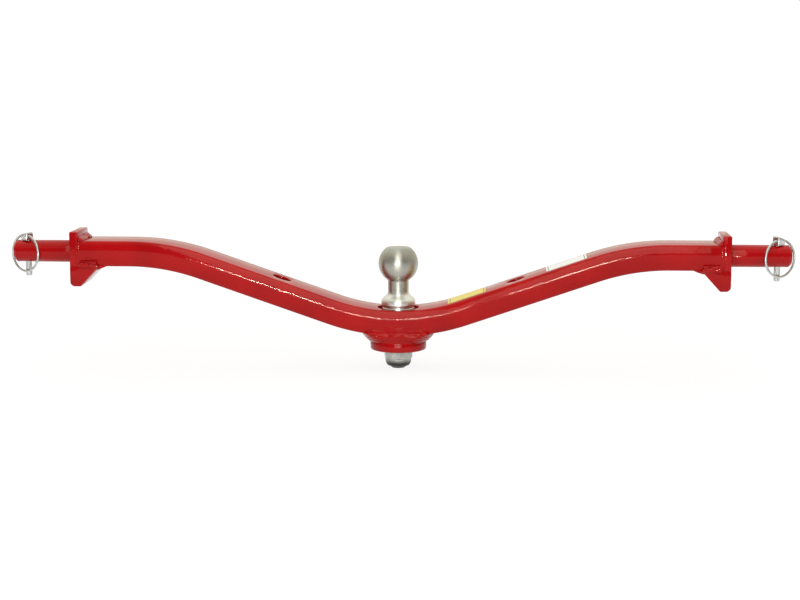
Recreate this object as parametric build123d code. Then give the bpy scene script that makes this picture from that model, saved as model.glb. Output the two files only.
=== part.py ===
from build123d import *
import os
from math import asin, cos, degrees, radians, sin, sqrt, tan

# Cranked tractor drawbar with a bolt-on tow ball and a hitch pin at each end.
# Frame: the origin is half way between the two shoulders, on the hitch pins' common axis.
# +X runs along the bar, +Y away from the side with the linch rings, +Z up. Millimetres.

# Bar: a rounded flat, level at both ends and cranked down to the middle
shoulder_span = 825.0
bar_depth = 60.0
bar_thick = 32.0
bar_edge_r = 8.0
end_flat_length = 63.5
end_bend_r = 283.0
mid_bend_r = 253.0
crank_angle = 19.0
drawbar_hole_x = 153.0
drawbar_hole_r = 12.0

# End plates, square to the hitch pins
plate_thick = 11.0
plate_inset = 1.5
plate_rise = 27.4
plate_edge_r = 1.5

# Hitch pins
hitch_pin_r = 14.0
hitch_pin_length = 76.7
hitch_pin_chamfer = 4.0
seat_to_linch = 7.5
nose_relief = 0.2
spigot_r = 13.0
spigot_clearance = 0.1
pin_weld_depth = 4.0
pin_weld_width = 1.7

# Stop lugs under the bar ends
lug_drop = 25.5
lug_length = 36.5
lug_foot_length = 13.2
lug_corner_r = 6.0
lug_edge_r = 1.0

# Weld beads
bead_toe = 0.2
bead_inset = 1.0
plate_bead_leg = 6.0
plate_bead_rise = 5.5
lug_bead_leg = 3.0
lug_bead_rise = 10.0
lug_bead_proud = 1.2
toe_bead_length = 9.0
toe_bead_drop = 4.6
toe_bead_run_in = 3.0

# Tow ball and its shank
ball_r = 25.0
ball_z = -12.5
ball_flat_r = 14.5
neck_r = 13.1
neck_end_z = -48.5
collar_r = 21.6
collar_top_z = -60.5
collar_low_z = -64.5
flange_r = 20.0
flange_bevel = 1.6
flange_groove = 0.7
flange_groove_z = -68.3
shank_r = 11.0
shank_tip_chamfer = 3.0
shank_proud = 2.5
shank_clearance = 0.25

# Seat for the ball flange, turned into the top of the bar
seat_r = 26.25
seat_depth = 2.5

# Boss under the bar
boss_overhang = 5.5
boss_drop = 20.0
boss_edge_r = 2.0
boss_bead_width = 9.5
boss_bead_drop = 9.5
boss_bead_rise = 8.5
boss_bead_ledge = 0.4
boss_bead_proud = 2.3

# Lock nut with its nylon insert
nut_across_flats = 34.0
nut_hex_height = 12.5
nut_collar_height = 9.0
nut_collar_r = 15.8
nut_collar_band = 1.5
nut_mouth_r = 12.7
nut_turn = 8.0
nut_clearance = 0.15
insert_height = 4.0
insert_wall = 1.6
insert_lip = 2.0
insert_clearance = 0.05

# Linch pins: a stem through the hitch pin, and a head that carries the ring
linch_from_end = 17.2
linch_stem_r = 4.0
linch_reach = 31.6
linch_tip_chamfer = 1.2
linch_clearance = 0.08
linch_seat_gap = 0.3
linch_turn = 32.0
head_length = 11.0
head_slope_drop = 2.4
head_wall = 1.8
head_cover = 0.9
head_back_wall = 0.4
head_corner_r = 1.2
head_edge_r = 0.8
head_round_r = 7.6
head_bevel = 2.4
head_crown = 3.4

# Linch rings
ring_wire_r = 1.5
ring_mean_r = 23.0
ring_hinge_height = 5.6
ring_hinge_offset = 4.5
ring_elbow_gap = 1.0
ring_end_depth = 4.0
ring_stem_gap = 0.4
ring_hole_clearance = 0.08

# Plain labels on the right slope, placed along it from the outer bend
label_thick = 0.25
label_glue = 0.25
yellow_label_size = (50.0, 40.0)
yellow_label_at = 162.7
white_label_size = (53.0, 42.0)
white_label_at = 31.6
label_corner_r = 2.0

# How far a cutting body runs past what it cuts
cut_past = 1.0

# Places that follow from the driving dimensions
shoulder_x = shoulder_span / 2
bar_end_x = shoulder_x - plate_thick
end_flat_x = bar_end_x - end_flat_length
plate_depth = bar_depth - 2 * plate_inset
lug_toe_x = shoulder_x - lug_length
bar_top = bar_thick / 2
boss_r = bar_depth / 2 + boss_overhang
crank = radians(crank_angle)
slope_top_x = end_flat_x - end_bend_r * sin(crank)
slope_top_z = -end_bend_r * (1 - cos(crank))
slope_foot_x = mid_bend_r * sin(crank)
slope_foot_z = slope_top_z - (slope_top_x - slope_foot_x) * tan(crank)
mid_z = slope_foot_z - mid_bend_r * (1 - cos(crank))
crest_z = mid_z + bar_top
underside_z = mid_z - bar_top
seat_z = crest_z - seat_depth
boss_bottom_z = underside_z - boss_drop
nut_height = nut_hex_height + nut_collar_height
nut_bottom_z = boss_bottom_z - nut_height
shank_hole_r = shank_r + shank_clearance
pin_end_x = shoulder_x + hitch_pin_length
linch_x = pin_end_x - linch_from_end
pin_seat_length = linch_x - seat_to_linch - shoulder_x
head_base_z = hitch_pin_r + linch_seat_gap
hinge_z = hitch_pin_r + ring_hinge_height
ring_hole_r = ring_wire_r + ring_hole_clearance
ring_hinge_half = head_length / 2 + ring_elbow_gap
head_front = ring_hinge_offset + ring_hole_r + head_wall
head_back = linch_stem_r + head_back_wall
head_height = hinge_z + ring_hole_r + head_cover + head_slope_drop - head_base_z


def point(x, z):
    """A point on the bar's middle plane."""
    return Vector(x, 0, z)


def slope_point(along, height, side=1):
    """A point on a slope, from the outer bend down it, and square off its middle line."""
    x = slope_top_x - along * cos(crank) - height * sin(crank)
    return point(side * x, slope_top_z - along * sin(crank) + height * cos(crank))


def bend_point(centre_x, centre_z, radius, angle):
    """A point on a bend, at an angle from straight up."""
    return point(centre_x + radius * sin(angle), centre_z + radius * cos(angle))


def bar_curve(offset):
    """The bar's line from left end to right end, shifted up square to itself."""
    outer = end_bend_r + offset
    inner = mid_bend_r - offset
    centre_z = mid_z + mid_bend_r
    right = [bend_point(end_flat_x, -end_bend_r, outer, -crank * k / 2) for k in (2, 1, 0)]
    left = [bend_point(-end_flat_x, -end_bend_r, outer, crank * k / 2) for k in (0, 1, 2)]
    low = [point(inner * sin(a), centre_z - inner * cos(a)) for a in (-crank, 0, crank)]
    return [
        Line(point(-bar_end_x, offset), left[0]),
        ThreePointArc(*left),
        Line(left[2], low[0]),
        ThreePointArc(*low),
        Line(low[2], right[0]),
        ThreePointArc(*right),
        Line(right[2], point(bar_end_x, offset)),
    ]


def filled(pieces):
    """The face inside a closed run of lines."""
    return make_face(Wire([edge for piece in pieces for edge in piece.edges()]))


def section_at(x, grow):
    """The bar's rounded section at one end, grown by a margin all round."""
    plane = Plane(origin=(x, 0, 0), x_dir=(0, 1, 0), z_dir=(1, 0, 0))
    return plane * RectangleRounded(bar_depth + 2 * grow, bar_thick + 2 * grow, bar_edge_r + grow)


def plain_bar():
    """The bent flat before anything is cut in it."""
    return sweep(section_at(-bar_end_x, 0), path=Wire(bar_curve(0)))


def slope_plane(along, height, side=1):
    """A plane on a slope, with its x along the slope and its z square off it."""
    tilt = Vector(cos(crank), 0, side * sin(crank))
    normal = Vector(-side * sin(crank), 0, cos(crank))
    return Plane(origin=slope_point(along, height, side), x_dir=tilt, z_dir=normal)


def upright(radius, low_z, high_z):
    """A round bar on the ball's axis between two heights."""
    return Pos(0, 0, (low_z + high_z) / 2) * Cylinder(radius, high_z - low_z)


def cranked_bar():
    """The bar with its ball seat, shank hole and the two drawbar holes."""
    along = (slope_top_x - drawbar_hole_x) / cos(crank)
    bar = plain_bar() - upright(seat_r, seat_z, seat_z + seat_r)
    bar -= upright(shank_hole_r, underside_z - bar_thick, crest_z + bar_thick)
    for side in (-1, 1):
        bar -= slope_plane(along, 0, side) * Cylinder(drawbar_hole_r, 2 * bar_thick)
    return bar


def centre_boss():
    """The disc under the bar that the shank passes through, shaped to the bar's underside."""
    rise = mid_bend_r + bar_top - sqrt((mid_bend_r + bar_top) ** 2 - boss_r**2)
    disc = upright(boss_r, boss_bottom_z, underside_z + rise)
    disc = fillet(disc.edges().sort_by(Axis.Z)[0], boss_edge_r)
    return disc - upright(shank_hole_r, boss_bottom_z - cut_past, crest_z) - plain_bar()


def boss_weld(boss):
    """The heavy bead that joins the boss to the bar all round."""
    low = underside_z - boss_bead_drop
    high = underside_z + boss_bead_rise
    wide = boss_r + boss_bead_width
    outline = Polyline(
        (0, 0, low), (boss_r - bead_inset, 0, low), (boss_r, 0, low), (wide, 0, underside_z),
        (wide, 0, high), (0, 0, high), close=True,
    )
    around = revolve(make_face(outline), Axis.Z)
    side_y = bar_depth / 2 - bead_inset
    rim_y = boss_r + boss_bead_ledge
    face_y = bar_depth / 2 + boss_bead_proud
    front = Polyline(
        (0, -side_y, low), (0, side_y, low), (0, rim_y, underside_z), (0, face_y, high), (0, -face_y, high),
        (0, -rim_y, underside_z), close=True,
    )
    along = extrude(make_face(front), wide, dir=(1, 0, 0), both=True)
    bead = (around & along) - plain_bar() - boss - upright(shank_hole_r, low - cut_past, high)
    return bead.solids().sort_by(SortBy.VOLUME)[-1]


def ball_outline():
    """Half the tow ball's outline, in the XZ plane, from its flat top to its shank tip."""
    flat_z = ball_z + sqrt(ball_r**2 - ball_flat_r**2)
    neck_z = ball_z - sqrt(ball_r**2 - neck_r**2)
    tip_z = nut_bottom_z - shank_proud
    groove = flange_groove
    ball = ThreePointArc(point(ball_flat_r, flat_z), point(ball_r, ball_z), point(neck_r, neck_z))
    flare = Spline(
        point(neck_r, neck_end_z), point(collar_r, collar_top_z),
        tangents=(Vector(0, 0, -1), Vector(0.12, 0, -1)),
    )
    low = Polyline(
        point(collar_r, collar_top_z), point(collar_r, collar_low_z),
        point(flange_r, collar_low_z - flange_bevel),
        point(flange_r, flange_groove_z + groove), point(flange_r - groove, flange_groove_z),
        point(flange_r, flange_groove_z - groove), point(flange_r, seat_z), point(shank_r, seat_z),
        point(shank_r, tip_z + shank_tip_chamfer), point(shank_r - shank_tip_chamfer, tip_z),
        point(0, tip_z), point(0, flat_z), point(ball_flat_r, flat_z),
    )
    return [ball, Line(point(neck_r, neck_z), point(neck_r, neck_end_z)), flare, low]


def tow_ball():
    """Ball, neck, flange and shank, turned as one piece."""
    return revolve(filled(ball_outline()), Axis.Z)


def nut_turned_body():
    """The nut's turned envelope: full width over the hexagon, then a domed collar."""
    flat_r = nut_across_flats / 2
    corner_r = nut_across_flats / sqrt(3)
    collar_z = boss_bottom_z - nut_hex_height
    band_z = collar_z - nut_collar_band
    dome = TangentArc(point(nut_collar_r, band_z), point(nut_mouth_r, nut_bottom_z), tangent=(0, 0, -1))
    shell = Polyline(
        point(nut_mouth_r, nut_bottom_z), point(0, nut_bottom_z), point(0, boss_bottom_z),
        point(flat_r, boss_bottom_z), point(corner_r, boss_bottom_z - (corner_r - flat_r) / 2),
        point(corner_r, collar_z + corner_r - flat_r), point(nut_collar_r, collar_z),
        point(nut_collar_r, band_z),
    )
    return revolve(filled([dome, shell]), Axis.Z)


def insert_place():
    """The nylon insert's outer radius, low end and high end."""
    low = nut_bottom_z + insert_lip
    return shank_r + nut_clearance + insert_wall, low, low + insert_height


def ball_lock_nut():
    """Hexagon nut under the boss, with a domed collar and a groove for the insert."""
    outer, low, high = insert_place()
    hexagon = extrude(RegularPolygon(nut_across_flats / 2, 6, major_radius=False, rotation=30), nut_height)
    hexagon = Pos(0, 0, nut_bottom_z) * Rot(0, 0, nut_turn) * hexagon
    nut = nut_turned_body() & hexagon
    nut -= upright(shank_r + nut_clearance, nut_bottom_z - cut_past, boss_bottom_z + cut_past)
    return nut - upright(outer + insert_clearance, low - insert_clearance, high + insert_clearance)


def lock_nut_insert():
    """Nylon ring that grips the thread."""
    outer, low, high = insert_place()
    return upright(outer, low, high) - upright(shank_r + insert_clearance, low - cut_past, high + cut_past)


def end_plate():
    """Plate across the bar's end, bored and countersunk for the hitch pin's spigot."""
    plate = Box(plate_thick, plate_depth, plate_rise + bar_top)
    plate = Pos(shoulder_x - plate_thick / 2, 0, (plate_rise - bar_top) / 2) * plate
    corners = plate.edges().filter_by(Axis.Z) + plate.edges().group_by(Axis.Z)[-1]
    plate = fillet(corners, plate_edge_r)
    return plate - spigot(spigot_clearance) - pin_weld_blank()


def spigot(clearance):
    """The hitch pin's spigot through the plate, or with a clearance the hole for it."""
    rod = Cylinder(spigot_r + clearance, plate_thick)
    return Pos(shoulder_x - plate_thick / 2, 0, 0) * Rot(0, 90, 0) * rod


def hitch_pin():
    """Pin with a seat for the link's ball, a nose turned a little smaller, and a spigot."""
    rod = Cylinder(hitch_pin_r - nose_relief, hitch_pin_length)
    rod = Pos(shoulder_x + hitch_pin_length / 2, 0, 0) * Rot(0, 90, 0) * rod
    end = rod.edges().filter_by(GeomType.CIRCLE).sort_by(Axis.X)[-1]
    link_seat = Cylinder(hitch_pin_r, pin_seat_length)
    link_seat = Pos(shoulder_x + pin_seat_length / 2, 0, 0) * Rot(0, 90, 0) * link_seat
    rod = chamfer(end, hitch_pin_chamfer) + link_seat + spigot(0)
    return rod - Pos(linch_x, 0, 0) * Cylinder(linch_stem_r + linch_clearance, 4 * hitch_pin_r)


def pin_weld_blank():
    """Cone of the weld in the plate's countersink, flush with the shoulder."""
    outline = Polyline(
        (shoulder_x, 0, 0), (shoulder_x, 0, hitch_pin_r + pin_weld_width),
        (shoulder_x - pin_weld_depth, 0, spigot_r + spigot_clearance),
        (shoulder_x - pin_weld_depth, 0, 0), close=True,
    )
    return revolve(make_face(outline), Axis.X)


def pin_weld():
    """Weld metal between the spigot and the plate, dressed flush."""
    return pin_weld_blank() - spigot(0)


def stop_lug():
    """Block under the bar's end with a sloping inner face."""
    low = -bar_top - lug_drop
    outline = Polyline(
        (shoulder_x, 0, -bar_top), (shoulder_x, 0, low), (shoulder_x - lug_foot_length, 0, low),
        (lug_toe_x, 0, -bar_top), close=True,
    )
    lug = extrude(make_face(outline), plate_depth / 2, dir=(0, 1, 0), both=True)
    outer = lug.edges().filter_by(Axis.Y).group_by(Axis.X)[-1]
    lug = fillet(outer.sort_by(Axis.Z)[0], lug_corner_r)
    rims = lug.faces().sort_by(Axis.Z)[0].edges().filter_by(Axis.X)
    lug = fillet(rims, lug_edge_r)
    return lug - spigot(spigot_clearance) - pin_weld_blank()


def plate_weld():
    """Bead between the plate's inner face and the top of the bar, round its corners."""
    toe = section_at(bar_end_x - plate_bead_leg, bead_toe)
    root = section_at(bar_end_x, plate_bead_rise)
    bead = loft([toe, root]) - plain_bar()
    keep = Pos(bar_end_x, 0, bar_top) * Box(4 * plate_bead_leg, plate_depth - 2 * bead_inset, 2 * bar_top)
    return (bead & keep).solids().sort_by(SortBy.VOLUME)[-1]


def lug_side_bead():
    """Blank of the bead along the lug's front, run into the bar and the lug."""
    edge_y = plate_depth / 2
    root_y = bar_depth / 2 - bar_edge_r + 2 * bead_inset
    proud_y = bar_depth / 2 + lug_bead_proud
    outline = Polyline(
        (0, -root_y, -bar_top - bead_inset), (0, bead_inset - edge_y, -bar_top - lug_bead_leg),
        (0, -proud_y, -bar_top), (0, -proud_y, bar_edge_r - bar_top),
        (0, bead_inset - bar_depth / 2, lug_bead_rise - bar_top), (0, -root_y, lug_bead_rise - bar_top),
        close=True,
    )
    return Pos(lug_toe_x, 0, 0) * extrude(make_face(outline), bar_end_x - lug_toe_x, dir=(1, 0, 0))


def lug_toe_bead():
    """Blank of the bead under the bar at the lug's toe, run into the bar and the lug."""
    start_x = lug_toe_x - toe_bead_length
    face_x = lug_toe_x + toe_bead_drop * (shoulder_x - lug_foot_length - lug_toe_x) / lug_drop
    slope = toe_bead_drop / (face_x - start_x)
    high = toe_bead_run_in * slope - bar_top
    low = -bar_top - toe_bead_drop - toe_bead_run_in * slope
    outline = Polyline(
        (start_x - toe_bead_run_in, 0, high), (face_x + toe_bead_run_in, 0, low),
        (face_x + toe_bead_run_in, 0, high), close=True,
    )
    return extrude(make_face(outline), plate_depth / 2 - bead_inset, dir=(0, 1, 0), both=True)


def lug_weld(lug):
    """Beads along the lug's front and back and under its toe, as one run."""
    front = lug_side_bead()
    bead = front + mirror(front, about=Plane.XZ) + lug_toe_bead()
    return bead - plain_bar() - lug


def ring_lean():
    """Angle that the closed ring leans, so that its lowest point just clears the stem."""
    drop = ring_mean_r + sqrt(ring_mean_r**2 - ring_hinge_half**2)
    return asin((linch_stem_r + ring_wire_r + ring_stem_gap - ring_hinge_offset) / drop)


turn = radians(linch_turn)
inward = Vector(-cos(turn), -sin(turn), 0)
forward = Vector(sin(turn), -cos(turn), 0)
hinge = Vector(linch_x, 0, hinge_z) + forward * ring_hinge_offset


def head_prism(outline, facing, across, length, round_r):
    """A prism on the linch head's base, its rounded outline given as sideways and upward places."""
    plane = Plane(origin=(linch_x, 0, head_base_z), x_dir=across, z_dir=facing)
    upward = plane.y_dir.Z
    face = make_face(Polyline([(side, upward * height) for side, height in outline], close=True))
    return plane * extrude(fillet(face.vertices(), round_r), length / 2, both=True)


def linch_head():
    """Forged head over the hitch pin, sloping down towards the pin's end."""
    half = head_length / 2
    from_the_end = [
        (-head_back, 0), (head_front - head_bevel, 0), (head_front, head_bevel),
        (head_front, head_height - head_bevel), (head_front - head_crown, head_height),
        (head_bevel - head_back, head_height), (-head_back, head_height - head_bevel),
    ]
    from_the_front = [
        (-half, -head_height), (half, -head_height), (half, head_height),
        (-half, head_height - head_slope_drop),
    ]
    head = head_prism(from_the_end, inward, forward, 2 * head_length, head_corner_r)
    head &= head_prism(from_the_front, forward, inward, 4 * head_front, head_edge_r)
    middle = forward * ((head_front - head_back) / 2)
    head &= Pos(linch_x + middle.X, middle.Y, head_base_z) * Cylinder(head_round_r, 4 * head_height)
    return head - Plane(origin=hinge, z_dir=inward) * Cylinder(ring_hole_r, 2 * head_length)


def linch_pin():
    """Stem and head as one forging."""
    top = head_base_z + head_bevel / 2
    stem = Pos(linch_x, 0, (top - linch_reach) / 2) * Cylinder(linch_stem_r, top + linch_reach)
    stem = chamfer(stem.edges().filter_by(GeomType.CIRCLE).sort_by(Axis.Z)[0], linch_tip_chamfer)
    return linch_head() + stem


def linch_ring():
    """Round wire loop with its two ends turned into the head."""
    lean = ring_lean()
    up = Vector(0, 0, cos(lean)) - forward * sin(lean)
    centre = hinge - up * sqrt(ring_mean_r**2 - ring_hinge_half**2)
    plane = Plane(origin=centre, x_dir=up, z_dir=inward.cross(up))
    gap = degrees(asin(ring_hinge_half / ring_mean_r))
    loop = plane * CenterArc((0, 0), ring_mean_r, gap, 360 - 2 * gap)
    ring = sweep(Plane(origin=loop @ 0, z_dir=loop % 0) * Circle(ring_wire_r), path=loop)
    for way in (-1, 1):
        corner = hinge + inward * (way * ring_hinge_half)
        stub = Cylinder(ring_wire_r, ring_end_depth, align=(Align.CENTER, Align.CENTER, Align.MIN))
        ring += Plane(origin=corner, z_dir=inward * -way) * stub
        ring += Pos(corner) * Sphere(ring_wire_r)
    return ring


def label(size, along):
    """Plain label laid on the right slope, following its top face."""
    low = bar_curve(bar_top + label_glue)
    high = bar_curve(bar_top + label_glue + label_thick)
    ends = [Line(low[0] @ 0, high[0] @ 0), Line(low[-1] @ 1, high[-1] @ 1)]
    skin = extrude(filled(low + ends[1:] + high + ends[:1]), size[1] / 2, dir=(0, 1, 0), both=True)
    patch = extrude(RectangleRounded(size[0], size[1], label_corner_r), bar_thick / 4, both=True)
    return skin & (slope_plane(along, bar_top) * patch)


def write(name, shape):
    """Write one named piece."""
    export_step(shape, "parts/" + name + ".step")


def write_pair(name, shape):
    """Write a right-hand piece and its mirror image on the left."""
    write("right_" + name, shape)
    write("left_" + name, mirror(shape, about=Plane.YZ))


os.makedirs("parts", exist_ok=True)
write("cranked_bar", cranked_bar())
boss = centre_boss()
write("centre_boss", boss)
write("boss_weld", boss_weld(boss))
write("tow_ball", tow_ball())
write("ball_lock_nut", ball_lock_nut())
write("lock_nut_insert", lock_nut_insert())
write_pair("end_plate", end_plate())
write_pair("hitch_pin", hitch_pin())
write_pair("pin_weld", pin_weld())
lug = stop_lug()
write_pair("stop_lug", lug)
write_pair("plate_weld", plate_weld())
write_pair("lug_weld", lug_weld(lug))
write_pair("linch_pin", linch_pin())
write_pair("linch_ring", linch_ring())
write("yellow_label", label(yellow_label_size, yellow_label_at))
write("white_label", label(white_label_size, white_label_at))

print("bar drop in the middle", round(-mid_z, 2))
print("ring hinge", [round(v, 2) for v in hinge], "lean", round(degrees(ring_lean()), 2))
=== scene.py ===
import bpy
from math import asin, atan2, cos, pi, radians, sin, sqrt, tan
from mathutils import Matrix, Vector, noise


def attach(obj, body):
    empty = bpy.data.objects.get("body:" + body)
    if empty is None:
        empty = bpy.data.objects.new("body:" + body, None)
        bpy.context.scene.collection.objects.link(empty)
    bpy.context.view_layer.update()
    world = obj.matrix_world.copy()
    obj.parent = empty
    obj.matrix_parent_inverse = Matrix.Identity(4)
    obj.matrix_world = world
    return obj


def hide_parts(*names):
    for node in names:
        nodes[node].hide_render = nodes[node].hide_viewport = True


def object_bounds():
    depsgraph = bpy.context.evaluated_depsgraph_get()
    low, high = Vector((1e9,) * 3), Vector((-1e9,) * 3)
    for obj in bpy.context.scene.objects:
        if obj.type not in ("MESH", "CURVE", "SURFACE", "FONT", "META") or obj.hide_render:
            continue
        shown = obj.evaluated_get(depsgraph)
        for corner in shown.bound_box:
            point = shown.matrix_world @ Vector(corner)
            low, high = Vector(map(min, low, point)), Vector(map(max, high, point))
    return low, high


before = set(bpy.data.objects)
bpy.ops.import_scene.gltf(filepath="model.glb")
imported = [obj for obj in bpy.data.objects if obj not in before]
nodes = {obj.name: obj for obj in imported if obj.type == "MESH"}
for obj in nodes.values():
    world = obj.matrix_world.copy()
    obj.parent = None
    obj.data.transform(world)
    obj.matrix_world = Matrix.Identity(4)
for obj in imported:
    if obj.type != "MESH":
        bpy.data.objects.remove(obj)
cad_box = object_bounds()

# The studio: a long lens in front of the drawbar, a little above it and to its right. The
# ceiling, the walls and one large soft lamp light it, and two small lamps low beside the
# camera draw the broken bright lines on the paint.
camera_place, camera_down, camera_turn = (0.12832, -2.18211, 0.28074), 0.1544, 0.0578
bpy.ops.object.select_all(action="DESELECT")
bpy.ops.object.camera_add(
    location=camera_place, rotation=(pi / 2 - camera_down, 0, camera_turn))
camera = bpy.context.object
camera.data.sensor_width = 36
camera.data.lens = 78.75
camera.data.clip_end = 60
bpy.context.scene.camera = camera
bpy.context.scene.view_settings.view_transform = "Standard"

floor_z, floor_size = cad_box[0].z, 40
bpy.ops.mesh.primitive_plane_add(size=floor_size, location=(0, 0, floor_z))
floor = bpy.context.object
floor.name = "studio_floor"


def fresh_material(name):
    """An empty node material, and its node tree."""
    material = bpy.data.materials.new(name)
    material.use_nodes = True
    material.node_tree.nodes.clear()
    return material, material.node_tree


def feed(socket, value):
    """Links a socket to another one, or sets it to a plain value."""
    if isinstance(value, bpy.types.NodeSocket):
        socket.id_data.links.new(value, socket)
    else:
        socket.default_value = value


def add_node(tree, kind, **inputs):
    """A node with some of its inputs fed by name."""
    made = tree.nodes.new(kind)
    for name, value in inputs.items():
        feed(made.inputs[name.replace("_", " ")], value)
    return made


def own_place(tree):
    """The place of each spot in its object's own space."""
    return tree.nodes.new("ShaderNodeTexCoord").outputs["Object"]


def worked(tree, operation, *values):
    """A number worked out from sockets or plain numbers."""
    made = tree.nodes.new("ShaderNodeMath")
    made.operation = operation
    for socket, value in zip(made.inputs, values):
        feed(socket, value)
    return made.outputs[0]


def length_of(tree, place):
    """How far a place is from the middle of its space."""
    made = tree.nodes.new("ShaderNodeVectorMath")
    made.operation = "LENGTH"
    feed(made.inputs[0], place)
    return made.outputs["Value"]


def stepped(tree, source, low, high, first=0.0, last=1.0):
    """A number stretched from between two levels to between two others."""
    return add_node(
        tree, "ShaderNodeMapRange", Value=source, From_Min=low, From_Max=high, To_Min=first,
        To_Max=last).outputs[0]


def mixed(tree, share, first, second):
    """A mix of two colours by a share."""
    made = tree.nodes.new("ShaderNodeMix")
    made.data_type = "RGBA"
    for place, value in ((0, share), (6, first), (7, second)):
        feed(made.inputs[place], value)
    return made.outputs[2]


def laid_over(tree, share, under, over):
    """One shader laid over another by a share."""
    made = tree.nodes.new("ShaderNodeMixShader")
    for socket, value in zip(made.inputs, (share, under.outputs[0], over.outputs[0])):
        feed(socket, value)
    return made


def shown(tree, shader, kind="ShaderNodeOutputMaterial"):
    """Ends a node tree with its shader."""
    feed(tree.nodes.new(kind).inputs[0], shader.outputs[0])


# The floor is white paper that greys towards the drawbar, where it takes a faint shadow. It
# is clear from below, so that the drawbar's underside can be seen.
pale_floor, tree = fresh_material("pale_floor")
rays = tree.nodes.new("ShaderNodeLightPath").outputs
fading = stepped(tree, length_of(tree, own_place(tree)), 0.4, 1.3, 0.82, 1.0)
seen = worked(tree, "MAXIMUM", rays["Is Camera Ray"], rays["Is Glossy Ray"])
painted = add_node(tree, "ShaderNodeBsdfDiffuse", Color=(0.66, 0.66, 0.66, 1))
paper = add_node(tree, "ShaderNodeEmission", Color=(1, 1, 1, 1), Strength=1.08)
above = laid_over(tree, worked(tree, "MULTIPLY", seen, fading), painted, paper)
from_below = tree.nodes.new("ShaderNodeNewGeometry").outputs["Backfacing"]
shown(tree, laid_over(tree, from_below, above, tree.nodes.new("ShaderNodeBsdfTransparent")))
floor.data.materials.append(pale_floor)

# The walls and the ceiling grow lighter upwards and towards the back.
world = bpy.data.worlds.new("studio_walls")
bpy.context.scene.world = world
world.use_nodes = True
tree = world.node_tree
tree.nodes.clear()
ways = add_node(
    tree, "ShaderNodeSeparateXYZ",
    Vector=tree.nodes.new("ShaderNodeTexCoord").outputs["Generated"]).outputs
walls = tree.nodes.new("ShaderNodeValToRGB")
feed(walls.inputs[0], worked(tree, "MULTIPLY_ADD", ways["Y"], 0.5, ways["Z"]))
stops = walls.color_ramp.elements
stops[1].position = 0.5
stops.new(0.70)
stops.new(0.95)
low_wall, back_wall = (0.10, 0.10, 0.105, 1), (0.82, 0.76, 0.66, 1)
high_wall, ceiling = (0.84, 0.79, 0.70, 1), (1.30, 1.29, 1.22, 1)
for stop, colour in zip(stops, (low_wall, back_wall, high_wall, ceiling)):
    stop.color = colour
to_camera = tree.nodes.new("ShaderNodeLightPath").outputs["Is Camera Ray"]
backdrop = mixed(tree, to_camera, walls.outputs[0], (1, 1, 1, 1))
shown(tree, add_node(tree, "ShaderNodeBackground", Color=backdrop), "ShaderNodeOutputWorld")


def soft_lamp(name, place, size, energy):
    """A soft rectangular lamp, pointed from its place at the middle of the drawbar."""
    bpy.ops.object.light_add(type="AREA", location=place)
    lamp = bpy.context.object
    lamp.name = name
    lamp.data.shape = "RECTANGLE"
    lamp.data.size, lamp.data.size_y = size
    lamp.data.energy = energy
    lamp.visible_camera = False
    lamp.rotation_euler = (-Vector(place)).to_track_quat("-Z", "Y").to_euler()


soft_lamp("large_front_lamp", (0.1, -2.45, 1.7), (1.3, 3.2), 31)
soft_lamp("low_left_lamp", (-0.30, -2.3, 0.03), (0.34, 0.03), 8.5)
soft_lamp("low_right_lamp", (0.21, -2.3, 0.03), (0.32, 0.03), 8)

# Red enamel, sprayed over bare forged and welded steel. It is glossy, with an orange peel
# all over, slow waves where the steel under it was hammered and bent, and thicker darker
# paint in places.
red_enamel, tree = fresh_material("red_enamel")
place = own_place(tree)


def grain(tree, place, scale, detail=2.0):
    """Noise about a place, so many grains to the metre."""
    return add_node(
        tree, "ShaderNodeTexNoise", Vector=place, Scale=scale, Detail=detail).outputs["Fac"]


def bumped(tree, source, depth, strength, under=None):
    """A bump so many metres deep, laid over another one."""
    made = add_node(
        tree, "ShaderNodeBump", Height=source, Strength=strength, Distance=depth)
    if under:
        feed(made.inputs["Normal"], under)
    return made.outputs[0]


thick = stepped(tree, grain(tree, place, 22, 3), 0.35, 0.65)
coat = mixed(tree, thick, (0.425, 0.004, 0.006, 1), (0.355, 0.003, 0.005, 1))
dull = stepped(tree, grain(tree, place, 160), 0.3, 0.7, 0.05, 0.10)
waves = bumped(tree, grain(tree, place, 60, 1), 0.0009, 0.22)
peel = bumped(tree, grain(tree, place, 260, 1), 0.00016, 0.55, waves)
shown(tree, add_node(
    tree, "ShaderNodeBsdfPrincipled", Base_Color=coat, Roughness=dull, Normal=peel, IOR=1.5,
    Specular_IOR_Level=0.24, Specular_Tint=(1.0, 0.80, 0.68, 1)))


def dress(piece, material):
    """Gives a piece one material all over."""
    piece.data.materials.clear()
    piece.data.materials.append(material)


def dress_node(name, material):
    """Gives a CAD node that is shown as it is its material."""
    node = nodes[name]
    if not node.data.materials:
        node.data.materials.append(material)
    for place in node.material_slots:
        place.material = material


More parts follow.
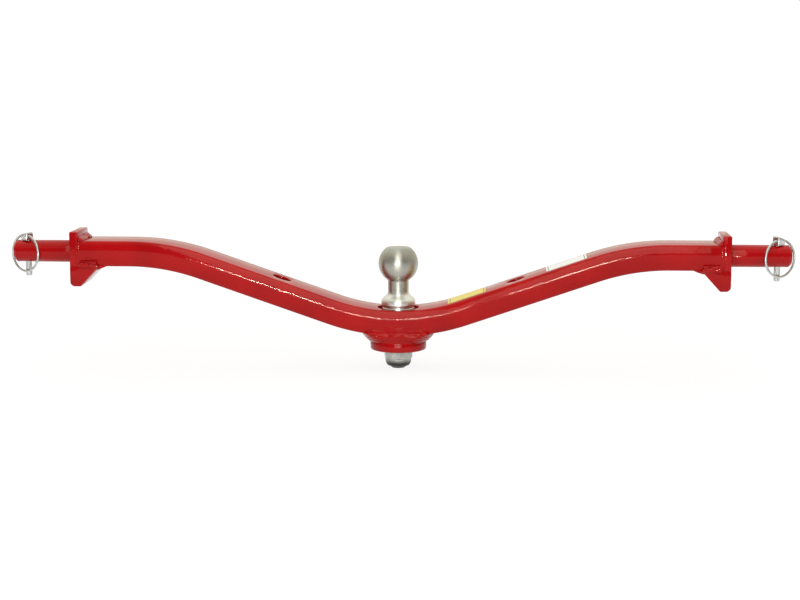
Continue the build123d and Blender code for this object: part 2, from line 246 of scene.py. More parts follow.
# The bar: a rolled flat with bulged edges, bent hot at four places, so that its middle
# hangs well below its ends. The seat of the ball's flange is turned into its top, and each
# slope is drilled for a drawbar pin. It carries everything else.
bar_depth, bar_thick, edge_in, edge_down = 0.060, 0.032, 0.005, 0.014
bar_end_x, flat_start_x, end_bend_r, mid_bend_r = 0.4015, 0.338, 0.283, 0.253
crank = radians(19)
slope_top_x = flat_start_x - end_bend_r * sin(crank)
slope_top_z = -end_bend_r * (1 - cos(crank))
slope_run_x = slope_top_x - mid_bend_r * sin(crank)
mid_z = slope_top_z - slope_run_x * tan(crank) - mid_bend_r * (1 - cos(crank))
crest_z = mid_z + bar_thick / 2
underside_z = mid_z - bar_thick / 2
seat_z, seat_r = crest_z - 0.0025, 0.02625
drawbar_hole_x, drawbar_hole_r = 0.153, 0.012
bend_steps, slope_steps, flat_steps, corner_steps = 28, 12, 4, 10


def only(piece):
    """Makes a piece the one selected and active object."""
    bpy.ops.object.select_all(action="DESELECT")
    piece.select_set(True)
    bpy.context.view_layer.objects.active = piece


def named(name):
    """Names the piece just added, and settles its place into its mesh."""
    piece = bpy.context.object
    piece.name = name
    only(piece)
    bpy.ops.object.transform_apply(location=True, rotation=True, scale=True)
    return piece


def pick(piece, kind, wanted):
    """Goes into edit mode with only the wanted edges or points of a piece selected."""
    only(piece)
    bpy.ops.object.mode_set(mode="EDIT")
    bpy.ops.mesh.select_mode(type=kind)
    bpy.ops.mesh.select_all(action="DESELECT")
    bpy.ops.object.mode_set(mode="OBJECT")
    points = piece.data.vertices
    if kind == "EDGE":
        for edge in piece.data.edges:
            edge.select = wanted(*(points[end].co for end in edge.vertices))
    else:
        for spot in points:
            spot.select = wanted(spot.co)
    bpy.ops.object.mode_set(mode="EDIT")


def pick_all(piece):
    """Goes into edit mode with all of a piece selected."""
    pick(piece, "VERT", lambda place: True)


def done():
    """Leaves edit mode."""
    bpy.ops.object.mode_set(mode="OBJECT")


def draw_out(step):
    """Draws the selected end of a piece out by a step."""
    bpy.ops.mesh.extrude_region_move(TRANSFORM_OT_translate={"value": step})


def rod(name, radius, length, place, turn=(0, 0, 0), sides=64):
    """A plain round bar or prism, for cutting with."""
    bpy.ops.mesh.primitive_cylinder_add(
        vertices=sides, radius=radius, depth=length, location=place, rotation=turn)
    return named(name)


def applied(piece, kind, **settings):
    """Adds a modifier with its settings and applies it."""
    only(piece)
    added = piece.modifiers.new(kind.lower(), kind)
    for name, value in settings.items():
        setattr(added, name, value)
    bpy.ops.object.modifier_apply(modifier=added.name)


def broken_edges(piece, width, steps, angle):
    """Rounds all the edges of a piece that are sharper than an angle in degrees."""
    applied(
        piece, "BEVEL", width=width, segments=steps, limit_method="ANGLE",
        angle_limit=radians(angle))


def cut(piece, cutter, operation="DIFFERENCE"):
    """Cuts one piece with another, which is then gone."""
    applied(piece, "BOOLEAN", object=cutter, operation=operation, solver="EXACT")
    bpy.data.objects.remove(cutter)


def smoothed(piece, angle=30):
    """Shades a piece smooth but for its sharp edges."""
    only(piece)
    bpy.ops.object.shade_smooth_by_angle(angle=radians(angle))


def outward(piece):
    """Merges a shell's doubles and points its faces outwards."""
    pick_all(piece)
    bpy.ops.mesh.remove_doubles(threshold=0.000005)
    bpy.ops.mesh.normals_make_consistent(inside=False)
    done()


bpy.ops.mesh.primitive_plane_add(size=1, location=(0, 0, mid_z), rotation=(0, pi / 2, 0))
bar = named("bar")
pick_all(bar)
bpy.ops.transform.resize(
    value=(1, bar_depth, bar_thick * edge_in / edge_down), center_override=(0, 0, mid_z))
bpy.ops.mesh.bevel(offset=edge_in, segments=corner_steps, affect="VERTICES")
bpy.ops.mesh.delete(type="ONLY_FACE")
bpy.ops.mesh.select_all(action="SELECT")
bpy.ops.transform.resize(value=(1, 1, edge_down / edge_in), center_override=(0, 0, mid_z))
bpy.ops.mesh.spin(
    steps=bend_steps, angle=crank, center=(0, 0, mid_z + mid_bend_r), axis=(0, 1, 0))
run = slope_run_x / slope_steps
for step in range(slope_steps):
    draw_out((run, 0, run * tan(crank)))
bpy.ops.mesh.spin(
    steps=bend_steps, angle=crank, center=(flat_start_x, 0, -end_bend_r), axis=(0, -1, 0))
for step in range(flat_steps):
    draw_out(((bar_end_x - flat_start_x) / flat_steps, 0, 0))
bpy.ops.mesh.edge_face_add()
done()
applied(bar, "MIRROR", use_axis=(True, False, False), merge_threshold=0.00001)
outward(bar)

hole_z = slope_top_z - (slope_top_x - drawbar_hole_x) * tan(crank)
for side in (-1, 1):
    cut(bar, rod(
        "drawbar_drill", drawbar_hole_r, 0.08, (side * drawbar_hole_x, 0, hole_z),
        (0, -side * crank, 0)))
cut(bar, rod("seat_cutter", seat_r, 0.04, (0, 0, seat_z + 0.02), sides=96))
broken_edges(bar, 0.0007, 3, 40)
smoothed(bar)
dress(bar, red_enamel)
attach(bar, "drawbar")
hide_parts("cranked_bar")


# The boss: a turned steel disc under the middle of the bar, which the ball's shank passes
# through. Its lower rim is rounded, with a shallow turned line above it, and it is painted
# with the bar.
boss_r, boss_line_r = 0.0355, 0.0351
boss_bottom_z, boss_top_z = underside_z - 0.020, underside_z + 0.0021


def turned(name, outline, steps=96, axis="Z"):
    """A turned piece, from its outline as radii and places along its axis."""
    places = [(r, 0, along) if axis == "Z" else (along, 0, r) for r, along in outline]
    bpy.ops.object.select_all(action="DESELECT")
    bpy.ops.mesh.primitive_plane_add(size=0.001, location=places[0])
    piece = named(name)
    pick_all(piece)
    bpy.ops.mesh.merge(type="CENTER")
    for start, end in zip(places, places[1:]):
        draw_out(tuple(b - a for a, b in zip(start, end)))
    bpy.ops.mesh.select_all(action="SELECT")
    turn = (0, 0, 1) if axis == "Z" else (1, 0, 0)
    bpy.ops.mesh.spin(steps=steps, angle=2 * pi, center=(0, 0, 0), axis=turn)
    done()
    outward(piece)
    return piece


boss_outline = [
    (0, boss_bottom_z), (0.0335, boss_bottom_z), (0.0347, boss_bottom_z + 0.0005),
    (boss_r, boss_bottom_z + 0.002), (boss_r, boss_bottom_z + 0.0108),
    (boss_line_r, boss_bottom_z + 0.0113), (boss_line_r, boss_bottom_z + 0.0121),
    (boss_r, boss_bottom_z + 0.0127), (boss_r, boss_top_z), (0, boss_top_z),
]
boss = turned("boss", boss_outline, 128)
smoothed(boss, 50)
dress(boss, red_enamel)
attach(boss, "drawbar")
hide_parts("centre_boss")


# The weld round the boss: several heavy passes laid one over another by hand, from the
# boss's side up to the bar's underside and faces. Each pass shows as a band, with a ripple
# for every pause of the electrode, and the paint lies thick over it.
pass_wide, pause_long = 0.0046, 0.0026
band_deep, pause_deep, lump_deep = 0.0006, 0.00022, 0.0004
ledge_z, ledge_r, ledge_deep = -0.0975, 0.0325, 0.0025
fill_x, fill_low_z, fill_top_z = 0.042, -0.0990, -0.0870
fill_inner_y, fill_outer_y, fill_lean, fill_corner = 0.0180, 0.0335, 0.0060, 0.008


def block(name, low, high):
    """A plain block between two corners, ready to be shaped."""
    middle = [(a + b) / 2 for a, b in zip(low, high)]
    size = [b - a for a, b in zip(low, high)]
    bpy.ops.object.select_all(action="DESELECT")
    bpy.ops.mesh.primitive_cube_add(size=1, location=middle, scale=size)
    return named(name)


def moved(piece, wanted, step):
    """Moves the wanted points of a piece by a step."""
    pick(piece, "VERT", wanted)
    bpy.ops.transform.translate(value=step)
    done()


def bevelled(piece, wanted, offset, steps):
    """Rounds the wanted edges of a piece."""
    pick(piece, "EDGE", wanted)
    bpy.ops.mesh.bevel(offset=offset, segments=steps)
    done()


def held(value, low=0.0, high=1.0):
    """A number held between two limits."""
    return min(max(value, low), high)


def laid_bead(name, node, voxel, soft, swell, ripple, more=()):
    """A weld that fills its CAD piece. ripple gives the height that it lacks at a place."""
    bpy.ops.object.select_all(action="DESELECT")
    bead = bpy.data.objects.new(name, nodes[node].data.copy())
    bpy.context.scene.collection.objects.link(bead)
    outward(bead)
    only(bead)
    for run in more:
        run.select_set(True)
    bpy.ops.object.join()
    applied(bead, "REMESH", mode="VOXEL", voxel_size=2 * voxel)
    applied(bead, "SMOOTH", iterations=soft, factor=0.5)
    applied(bead, "REMESH", mode="VOXEL", voxel_size=voxel)
    applied(bead, "SMOOTH", iterations=4, factor=0.5)
    skin = [(spot.co.copy(), spot.normal.copy()) for spot in bead.data.vertices]
    for spot, (place, normal) in zip(bead.data.vertices, skin):
        spot.co = place + normal * (swell - ripple(place))
    applied(bead, "SMOOTH", iterations=2, factor=0.4)
    smoothed(bead, 60)
    dress(bead, red_enamel)
    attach(bead, "drawbar")
    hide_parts(node)


def boss_ripple(spot):
    """Bands of the passes, the ripples along them, and the ledge under the bar's edges."""
    radius = sqrt(spot.x ** 2 + spot.y ** 2)
    across = (spot.z + 0.6 * radius) / pass_wide + 0.8 * noise.noise(spot * 60)
    travel = radius * atan2(spot.y, spot.x) / pause_long + 0.9 * noise.noise(spot * 90)
    band = 0.5 - 0.5 * cos(2 * pi * across)
    pause = (travel + 0.35 * cos(2 * pi * across)) % 1.0
    lump = noise.noise(spot * 150)
    rough = held((-0.090 - spot.z) / 0.006, 0.15)
    ledge = held((spot.z - ledge_z) / 0.003) * held((radius - ledge_r) / 0.002)
    ripples = band_deep * band ** 3 + pause_deep * pause + lump_deep * lump
    return ledge_deep * ledge + rough * ripples


last_pass = turned("last_pass", [
    (0.0300, -0.0900), (0.0330, -0.0915), (0.0352, -0.0950), (0.0363, -0.0985),
    (0.0364, -0.1020), (0.0358, -0.1048), (0.0348, -0.1060), (0.0300, -0.1060),
    (0.0300, -0.0900),
])


def side_fill(name, side):
    """The passes that fill up the bar's rounded lower edge, on its front (-1) or back (1)."""
    near, far = sorted((side * fill_inner_y, side * fill_outer_y))
    piece = block(name, (-fill_x, near, fill_low_z), (fill_x, far, fill_top_z))
    moved(
        piece, lambda place: place.z > fill_top_z - 0.001 and abs(place.y) > 0.03,
        (0, -side * fill_lean, 0))
    bevelled(
        piece, lambda a, b: abs(a.z - b.z) > 0.005 and min(abs(a.y), abs(b.y)) > 0.025,
        fill_corner, 4)
    return piece


laid_bead(
    "boss_bead", "boss_weld", voxel=0.0006, soft=24, swell=0.0011, ripple=boss_ripple,
    more=[last_pass, side_fill("front_fill", -1), side_fill("back_fill", 1)])


# The tow ball: ball, neck, flange and shank turned from one forging, bare and satin, with
# fine turning marks. Its flange stands in the bar's seat, and its shank goes down through
# the bar and the boss.
turned_steel, tree = fresh_material("turned_steel")
place = own_place(tree)


def turning_marks(tree, place, scale):
    """Noise in rings about the vertical axis, so many to the metre."""
    spots = add_node(tree, "ShaderNodeSeparateXYZ", Vector=place).outputs
    flat = add_node(tree, "ShaderNodeCombineXYZ", X=spots["X"], Y=spots["Y"]).outputs[0]
    rings = add_node(tree, "ShaderNodeCombineXYZ", X=length_of(tree, flat), Z=spots["Z"])
    return grain(tree, rings.outputs[0], scale, 1)


def by_height(tree, place, start_z, end_z):
    """A share that grows from none at one height to all at another."""
    rise = add_node(tree, "ShaderNodeSeparateXYZ", Vector=place).outputs["Z"]
    return stepped(tree, rise, start_z, end_z)


marks = turning_marks(tree, place, 2600)
bloom = stepped(tree, grain(tree, place, 38, 3), 0.35, 0.65)
bare = mixed(tree, bloom, (0.47, 0.47, 0.41, 1), (0.37, 0.365, 0.31, 1))
# From the neck down the steel is painted much lighter than bare steel: a painted highlight
# standing in for the bright reflections on the cone and flange.
painted_highlight_below_neck = mixed(tree, by_height(tree, place, -0.047, -0.052), bare, (0.76, 0.77, 0.70, 1))
# The shank's tip, below the nut, is painted nearly black: painted shade on the underside.
painted_shade_at_tip = mixed(tree, by_height(tree, place, -0.135, -0.141), painted_highlight_below_neck, (0.09, 0.085, 0.07, 1))
satin = stepped(tree, grain(tree, place, 90), 0.3, 0.7, 0.34, 0.46)
round_about = tree.nodes.new("ShaderNodeTangent")
round_about.direction_type = "RADIAL"
round_about.axis = "Z"
shown(tree, add_node(
    tree, "ShaderNodeBsdfPrincipled", Metallic=1.0, Base_Color=painted_shade_at_tip, Roughness=satin,
    Normal=bumped(tree, marks, 0.00006, 0.6), Anisotropic=0.65, Anisotropic_Rotation=0.25,
    Tangent=round_about.outputs[0]))

ball_r, ball_z, ball_flat_r = 0.025, -0.0125, 0.0145
neck_r, neck_low_z = 0.0131, -0.0485
flange_r, flange_foot_r, flange_top_z, cone_run = 0.0216, 0.0200, -0.0605, 0.0147
shank_r, thread_r, shank_low_z = 0.0110, 0.0096, -0.1455
ball_steps, cone_steps = 48, 16
flat_top_z = ball_z + sqrt(ball_r ** 2 - ball_flat_r ** 2)
ball_low = asin(-sqrt(ball_r ** 2 - neck_r ** 2) / ball_r)
ball_high = asin((flat_top_z - 0.0004 - ball_z) / ball_r)


def swept(t, start, end, leave, arrive):
    """A smooth way from start to end, with the slopes it leaves and arrives with."""
    between = (2 * t ** 3 - 3 * t ** 2 + 1) * start + (3 * t ** 2 - 2 * t ** 3) * end
    return between + (t ** 3 - 2 * t ** 2 + t) * leave + (t ** 3 - t ** 2) * arrive


ball_outline = [(0, flat_top_z), (0.0138, flat_top_z)]
for step in range(ball_steps + 1):
    angle = ball_high + (ball_low - ball_high) * step / ball_steps
    ball_outline.append((ball_r * cos(angle), ball_z + ball_r * sin(angle)))
ball_outline[-1] = (neck_r, ball_outline[-1][1] - 0.0004)
for step in range(cone_steps + 1):
    t = step / cone_steps
    wide = swept(t, neck_r, flange_r, 0, 0.119 * cone_run)
    rise = swept(t, neck_low_z, flange_top_z, -cone_run, -0.993 * cone_run)
    ball_outline.append((wide, rise))
ball_outline += [
    (flange_r, -0.0645), (flange_foot_r, -0.0661), (flange_foot_r, -0.0676), (0.0193, -0.0683),
    (flange_foot_r, -0.0690), (flange_foot_r, seat_z), (shank_r, seat_z), (shank_r, -0.1408),
    (0.0098, -0.1419), (0.0109, -0.1430), (thread_r, -0.1439), (0.0095, -0.1442),
    (0.0082, shank_low_z), (0, shank_low_z),
]
ball = turned("ball", ball_outline, 128)
broken_edges(ball, 0.0003, 2, 28)
smoothed(ball, 30)
dress(ball, turned_steel)
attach(ball, "drawbar")
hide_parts("tow_ball")


# The lock nut: a zinc-plated hexagon with a domed collar, done up hard under the boss.
# A white nylon ring inside the collar grips the thread.
zinc_plate, tree = fresh_material("zinc_plate")
place = own_place(tree)
cloud = stepped(tree, grain(tree, place, 120, 3), 0.35, 0.65)
clean = mixed(tree, cloud, (0.58, 0.58, 0.54, 1), (0.40, 0.40, 0.37, 1))
# Below the hexagon the collar and dome are painted nearly black: painted shade on the nut's
# underside.
painted_shade_on_dome = mixed(tree, by_height(tree, place, -0.1325, -0.1385), clean, (0.06, 0.06, 0.05, 1))
shown(tree, add_node(
    tree, "ShaderNodeBsdfPrincipled", Metallic=1.0, Base_Color=painted_shade_on_dome,
    Roughness=stepped(tree, grain(tree, place, 260), 0.3, 0.7, 0.3, 0.44),
    Normal=bumped(tree, grain(tree, place, 700), 0.00005, 0.5)))

nut_flat_r, nut_bore_r, nut_turn, nut_steps = 0.017, 0.01115, radians(8), 14
nut_low_z, collar_z = boss_bottom_z - 0.0215, boss_bottom_z - 0.0125
dome_r, dome_in, dome_down = 0.0166, 0.0046, 0.0099
nut_corner_r = nut_flat_r / cos(radians(30))
nut_blank_r = nut_corner_r + 0.0001
nut_outline = [
    (nut_bore_r, boss_bottom_z), (nut_flat_r, boss_bottom_z),
    (nut_blank_r, boss_bottom_z - 0.0014), (nut_blank_r, collar_z + 0.0032),
    (0.0171, collar_z + 0.0012), (0.0167, collar_z + 0.0009),
]
for step in range(1, nut_steps + 1):
    t = step / nut_steps
    dome_z = collar_z + 0.0009 - dome_down * t
    nut_outline.append((dome_r - dome_in * (1 - sqrt(1 - t * t)), dome_z))
nut_outline += [
    (0.01145, nut_low_z), (nut_bore_r, nut_low_z + 0.0005), (nut_bore_r, boss_bottom_z),
]
nut = turned("nut", nut_outline, 96)
cut(nut, rod(
    "nut_hexagon", nut_corner_r, 0.03, (0, 0, nut_low_z + 0.012), (0, 0, nut_turn), 6),
    "INTERSECT")
broken_edges(nut, 0.0004, 2, 24)
smoothed(nut, 30)
dress(nut, zinc_plate)
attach(nut, "drawbar")
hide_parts("ball_lock_nut")

white_nylon, tree = fresh_material("white_nylon")
milky = mixed(
    tree, grain(tree, own_place(tree), 200), (0.80, 0.80, 0.76, 1), (0.70, 0.70, 0.66, 1))
shown(tree, add_node(tree, "ShaderNodeBsdfPrincipled", Base_Color=milky, Roughness=0.5))
dress_node("lock_nut_insert", white_nylon)


# The end plates: sawn flats welded across the bar's ends, with ground edges. Each one
# stands above the bar, and its outer face is the shoulder that the lower link bears on.
shoulder_x, plate_thick, plate_depth = 0.4125, 0.011, 0.057
plate_low_z, plate_top_z, ground_edge = -0.016, 0.0274, 0.0015


def both_sides(piece, left_name):
    """Copies a right-hand piece to the left as its mirror image."""
    only(piece)
    bpy.ops.object.duplicate()
    copy = bpy.context.object
    copy.name = left_name
    copy.scale.x = -1
    only(copy)
    bpy.ops.object.transform_apply(location=True, rotation=True, scale=True)
    outward(copy)
    return copy


def painted_pair(piece, name, node):
    """Paints a right-hand piece and its left-hand copy, and puts them for their nodes."""
    piece.name = "right_" + name
    for side, made in (("right_", piece), ("left_", both_sides(piece, "left_" + name))):
        dress(made, red_enamel)
        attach(made, "drawbar")
        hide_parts(side + node)


plate = block(
    "plate", (shoulder_x - plate_thick, -plate_depth / 2, plate_low_z),
    (shoulder_x, plate_depth / 2, plate_top_z))
bevelled(plate, lambda a, b: abs(a.z - b.z) > 0.01, ground_edge, 3)
bevelled(plate, lambda a, b: min(a.z, b.z) > plate_top_z - 0.0001, ground_edge, 3)
smoothed(plate, 40)
painted_pair(plate, "plate", "end_plate")


# The welds of the plates: one pass round the inside of each plate where it meets the bar,
# lumpy at the bar's upper edges where the pass turns down, and a flatter bead up the joint
# at the front and at the back.
joint_x, joint_y = shoulder_x - plate_thick - 0.0002, 0.0286
joint_low_z, joint_high_z = -0.0135, 0.0150
joint_bead_r, joint_bead_flat, joint_steps = 0.0034, 0.42, 60
plate_pause_long, plate_pause_deep, plate_lump_deep = 0.0024, 0.0002, 0.0011


def plate_ripple(spot):
    """The ripples of a pass across the bar, and its lumps."""
    travel = (spot.y + 0.3 * spot.z) / plate_pause_long + 0.7 * noise.noise(spot * 120)
    return plate_pause_deep * (travel % 1.0) + plate_lump_deep * noise.noise(spot * 130)


for side in ("left", "right"):
    laid_bead(
        side + "_plate_bead", side + "_plate_weld", voxel=0.0005, soft=8, swell=0.0007,
        ripple=plate_ripple)


def joint_bead(name, y):
    """A bead up the joint of plate and bar, thinner at its two ends."""
    bpy.ops.object.select_all(action="DESELECT")
    bpy.ops.mesh.primitive_circle_add(
        vertices=24, radius=joint_bead_r, fill_type="NGON", location=(joint_x, y, joint_low_z))
    piece = named(name)
    pick_all(piece)
    for step in range(joint_steps):
        draw_out((0, 0, (joint_high_z - joint_low_z) / joint_steps))
    done()
    outward(piece)
    skin = [spot.co.copy() for spot in piece.data.vertices]
    for spot, place in zip(piece.data.vertices, skin):
        t = held((place.z - joint_low_z) / (joint_high_z - joint_low_z))
        pause = (place.z / plate_pause_long + 0.6 * noise.noise(place * 120)) % 1.0
        lump = noise.noise(Vector((joint_x, y, place.z)) * 190)
        wide = 0.55 + 0.45 * sin(pi * t) ** 0.5 - (0.10 * pause - 0.22 * lump)
        spot.co.x = joint_x + (place.x - joint_x) * wide
        spot.co.y = y + (place.y - y) * joint_bead_flat * wide
    applied(piece, "SMOOTH", iterations=2, factor=0.4)
    smoothed(piece, 60)
    return piece


joint_beads = joint_bead("joint_beads", -joint_y)
back_bead = joint_bead("back_bead", joint_y)
only(joint_beads)
back_bead.select_set(True)
bpy.ops.object.join()
joint_beads.name = "right_joint_beads"
for made in (joint_beads, both_sides(joint_beads, "left_joint_beads")):
    dress(made, red_enamel)
    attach(made, "drawbar")


# The stop lugs: blocks welded under the bar's ends, flush with the shoulders, that keep
# the lower links level. Their inner faces slope, and the lower outer corner is rounded.
lug_top_long, lug_foot_long, lug_low_z, lug_corner = 0.0365, 0.0132, -0.0415, 0.006
lug = block(
    "lug", (shoulder_x - lug_top_long, -plate_depth / 2, lug_low_z),
    (shoulder_x, plate_depth / 2, plate_low_z))
moved(
    lug, lambda place: place.z < -0.04 and place.x < shoulder_x - 0.03,
    (lug_top_long - lug_foot_long, 0, 0))
bevelled(
    lug, lambda a, b: min(a.x, b.x) > shoulder_x - 0.001 and max(a.z, b.z) < -0.04,
    lug_corner, 6)
broken_edges(lug, 0.001, 3, 30)
smoothed(lug, 40)
painted_pair(lug, "lug", "stop_lug")


# The welds of the lugs: a pass along the bar's lower edge on each side, rough and with
# spatter, and a short one under the bar at the lug's toe.
lug_pause_long, lug_pause_deep, lug_lump_deep = 0.0025, 0.00025, 0.0006
lug_toe_x, lug_bead_top_z, lug_bead_rise = 0.372, -0.0165, 0.12
fade_high, fade_deep = 0.005, 0.0036


def lug_ripple(spot):
    """Ripples of the pass along the bar, its lumps, and its edge that rises to the plate."""
    wander = 1.2 * noise.noise(spot * 110) + 0.4 * cos(spot.z / 0.0012)
    pause = (spot.x / lug_pause_long + wander) % 1.0
    edge_z = lug_bead_top_z + lug_bead_rise * (abs(spot.x) - lug_toe_x)
    above = held((spot.z - edge_z - 0.003 * noise.noise(spot * 70)) / fade_high)
    lump = noise.noise(spot * 190)
    return lug_pause_deep * pause + lug_lump_deep * lump + fade_deep * above ** 2


for side in ("left", "right"):
    laid_bead(
        side + "_lug_bead", side + "_lug_weld", voxel=0.0005, soft=12, swell=0.0007,
        ripple=lug_ripple)


# The hitch pins: turned round bar, welded into the plates and dressed flush, then painted.
# The nose past the link's seat is turned a little smaller and chamfered, and drilled
# upright for the linch pin.
pin_r, nose_r, pin_end_x, linch_x, linch_hole_r = 0.014, 0.0138, 0.4892, 0.472, 0.00408
pin_outline = [
    (0, shoulder_x - 0.004), (pin_r, shoulder_x - 0.004), (pin_r, linch_x - 0.0077),
    (nose_r, linch_x - 0.0073), (nose_r, pin_end_x - 0.0040),
    (nose_r - 0.0036, pin_end_x - 0.0002), (nose_r - 0.0044, pin_end_x), (0, pin_end_x),
]
pin = turned("pin", pin_outline, 96, "X")
cut(pin, rod("linch_drill", linch_hole_r, 0.05, (linch_x, 0, 0), sides=40))
broken_edges(pin, 0.0004, 2, 30)
smoothed(pin, 35)
painted_pair(pin, "pin", "hitch_pin")


# The welds of the hitch pins: each runs round its pin in the plate's countersink, ground
# down level with the shoulder, and shows only as a faint ring under the paint.
ring_inner_r, ring_outer_r = 0.0136, 0.0168
ring_outline = [
    (ring_inner_r, shoulder_x - 0.003), (ring_outer_r, shoulder_x - 0.003),
    (ring_outer_r, shoulder_x - 0.0001), (0.0163, shoulder_x + 0.0001),
    (0.0150, shoulder_x + 0.0002), (0.0144, shoulder_x + 0.0004),
    (0.0141, shoulder_x + 0.0009), (ring_inner_r, shoulder_x + 0.0009),
    (ring_inner_r, shoulder_x - 0.003),
]
pin_bead = turned("pin_bead", ring_outline, 96, "X")
smoothed(pin_bead, 50)
painted_pair(pin_bead, "pin_bead", "pin_weld")


# The linch pins: a forged head over a round stem, bright zinc plated. The head sits on the
# hitch pin, its stem goes down through it, and its top slopes away from the shoulder.
bright_zinc, tree = fresh_material("bright_zinc")
place = own_place(tree)
cloud = stepped(tree, grain(tree, place, 150, 3), 0.35, 0.65)
shown(tree, add_node(
    tree, "ShaderNodeBsdfPrincipled", Metallic=1.0,
    Base_Color=mixed(tree, cloud, (0.66, 0.68, 0.65, 1), (0.50, 0.52, 0.50, 1)),
    Roughness=stepped(tree, grain(tree, place, 300), 0.3, 0.7, 0.28, 0.42),
    Normal=bumped(tree, grain(tree, place, 500), 0.00003, 0.5)))

linch_turn, ring_axis_z, ring_axis_out, ring_hole_r = radians(32), 0.0196, 0.0045, 0.0017
head_half, head_low_z, head_back, head_front = 0.0055, 0.0143, -0.0044, 0.00788
stem_r, stem_top_z, stem_low_z = 0.004, 0.0170, -0.0316


def put_in_place(piece, place, lean=0.0):
    """Turns a piece made along the ring's axis to where the right-hand linch pin stands."""
    piece.rotation_euler = (lean, 0, pi + linch_turn)
    piece.location = place
    only(piece)
    bpy.ops.object.transform_apply(location=True, rotation=True, scale=True)


def linch_pin(peak, low):
    """The right-hand linch pin. Its head's top falls from its peak to its low end."""
    piece = block(
        "linch_head", (-head_half, head_back, head_low_z), (head_half, head_front, peak))
    moved(piece, lambda place: place.z > 0.02 and place.x < 0, (0, 0, low - peak))
    bevelled(piece, lambda a, b: min(a.x, b.x) > 0.005 and min(a.z, b.z) > 0.02, 0.0022, 2)
    bevelled(piece, lambda a, b: min(a.y, b.y) > 0.007 and min(a.z, b.z) > 0.015, 0.0026, 2)
    bevelled(piece, lambda a, b: max(a.y, b.y) < -0.004 and min(a.z, b.z) > 0.015, 0.0022, 2)
    bevelled(piece, lambda a, b: abs(a.z - b.z) > 0.003 and abs(a.x - b.x) < 0.0001, 0.0012, 1)
    cut(piece, rod(
        "ring_drill", ring_hole_r, 0.02, (0, ring_axis_out, ring_axis_z), (0, pi / 2, 0), 24))
    stem_outline = [
        (0, stem_top_z), (stem_r, stem_top_z), (stem_r, stem_low_z + 0.0012),
        (stem_r - 0.0012, stem_low_z), (0, stem_low_z),
    ]
    cut(piece, turned("linch_stem", stem_outline, 48), "UNION")
    broken_edges(piece, 0.00035, 2, 20)
    smoothed(piece, 30)
    put_in_place(piece, (linch_x, 0, 0))
    return piece


right_linch = linch_pin(0.0257, 0.0219)
right_linch.name = "right_linch"
lower_linch = linch_pin(0.0243, 0.0217)
left_linch = both_sides(lower_linch, "left_linch")
bpy.data.objects.remove(lower_linch)
for side, made in (("right", right_linch), ("left", left_linch)):
    dress(made, bright_zinc)
    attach(made, side + "_linch_pin")
    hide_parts(side + "_linch_pin")


# The linch rings: spring wire bent to a loop, its two ends turned into the head. A closed
# ring passes under the hitch pin and keeps the linch pin from jumping out.
wire_r, ring_r, ring_half, elbow_r, wire_end_x = 0.0015, 0.023, 0.0065, 0.005, 0.0025
elbow_steps, loop_steps = 6, 120
ring_drop = sqrt(ring_r ** 2 - ring_half ** 2)
ring_lean = asin((stem_r + wire_r + 0.0004 - ring_axis_out) / (ring_r + ring_drop))
elbow_z = ring_drop - elbow_r
elbow_x = sqrt((ring_r - elbow_r) ** 2 - elbow_z ** 2)
elbow_turn = atan2(elbow_x, elbow_z)
bpy.ops.object.select_all(action="DESELECT")
bpy.ops.mesh.primitive_circle_add(
    vertices=20, radius=wire_r, fill_type="NGON", location=(wire_end_x, 0, ring_drop),
    rotation=(0, pi / 2, 0))
ring = named("right_ring")
pick_all(ring)
draw_out((elbow_x - wire_end_x, 0, 0))
for steps, angle, middle in (
        (elbow_steps, elbow_turn, (elbow_x, 0, elbow_z)),
        (loop_steps, 2 * (pi - elbow_turn), (0, 0, 0)),
        (elbow_steps, elbow_turn, (-elbow_x, 0, elbow_z))):
    bpy.ops.mesh.spin(steps=steps, angle=angle, center=middle, axis=(0, -1, 0))
draw_out((elbow_x - wire_end_x, 0, 0))
done()
outward(ring)
smoothed(ring, 40)
forward = Vector((sin(linch_turn), -cos(linch_turn), 0))
ring_up = Vector((0, 0, cos(ring_lean))) - forward * sin(ring_lean)
ring_middle = Vector((linch_x, 0, ring_axis_z)) + forward * ring_axis_out - ring_up * ring_drop
put_in_place(ring, ring_middle, ring_lean)
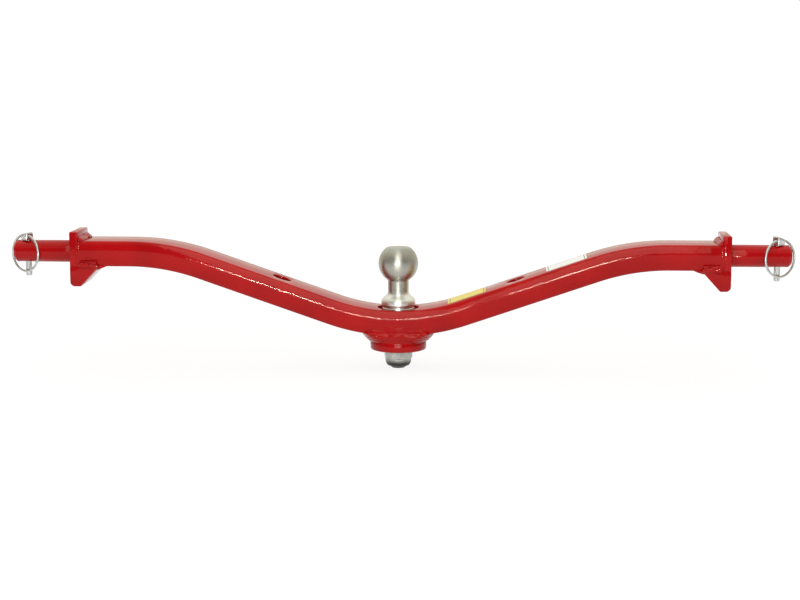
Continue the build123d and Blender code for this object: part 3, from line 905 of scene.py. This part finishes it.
left_ring = both_sides(ring, "left_ring")
for side, made in (("right", ring), ("left", left_ring)):
    dress(made, bright_zinc)
    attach(made, side + "_linch_ring")
    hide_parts(side + "_linch_ring")


# The labels: two plain vinyl stickers on the right slope, a yellow one and a white one,
# each with a thin printed frame and nothing else.
yellow_down, yellow_size, yellow_ink = 0.1627, (0.050, 0.040), (0.25, 0.02, 0.01, 1)
white_down, white_size, white_ink = 0.0316, (0.053, 0.042), (0.05, 0.05, 0.05, 1)
print_margin, print_half_wide = 0.0028, 0.0005


def label_print(slot, down, size, colour, tint, ink):
    """Vinyl with a printed frame line, its middle so far down the right slope."""
    material, tree = fresh_material(slot)
    place = own_place(tree)
    middle_x, middle_z = slope_top_x - down * cos(crank), slope_top_z - down * sin(crank)
    along_slope = middle_x * cos(crank) + middle_z * sin(crank)
    lay = add_node(
        tree, "ShaderNodeMapping", Vector=place, Rotation=(0, crank, 0),
        Location=(-along_slope, 0, 0))
    sides = add_node(tree, "ShaderNodeSeparateXYZ", Vector=lay.outputs[0]).outputs
    reach = [
        worked(tree, "SUBTRACT", worked(tree, "ABSOLUTE", sides[axis]), half - print_margin)
        for axis, half in (("X", size[0] / 2), ("Y", size[1] / 2))]
    on_line = worked(tree, "COMPARE", worked(tree, "MAXIMUM", *reach), 0.0, print_half_wide)
    worn = mixed(tree, grain(tree, place, 60, 3), colour, tint)
    shown(tree, add_node(
        tree, "ShaderNodeBsdfPrincipled", Base_Color=mixed(tree, on_line, worn, ink),
        Roughness=0.32, Normal=bumped(tree, grain(tree, place, 150, 1), 0.0002, 0.3)))
    return material


yellow, pale_yellow = (0.84, 0.72, 0.05, 1), (0.74, 0.60, 0.04, 1)
white, pale_grey = (0.92, 0.92, 0.90, 1), (0.86, 0.86, 0.84, 1)
dress_node("yellow_label", label_print(
    "yellow_vinyl", yellow_down, yellow_size, yellow, pale_yellow, yellow_ink))
dress_node("white_label", label_print(
    "white_vinyl", white_down, white_size, white, pale_grey, white_ink))
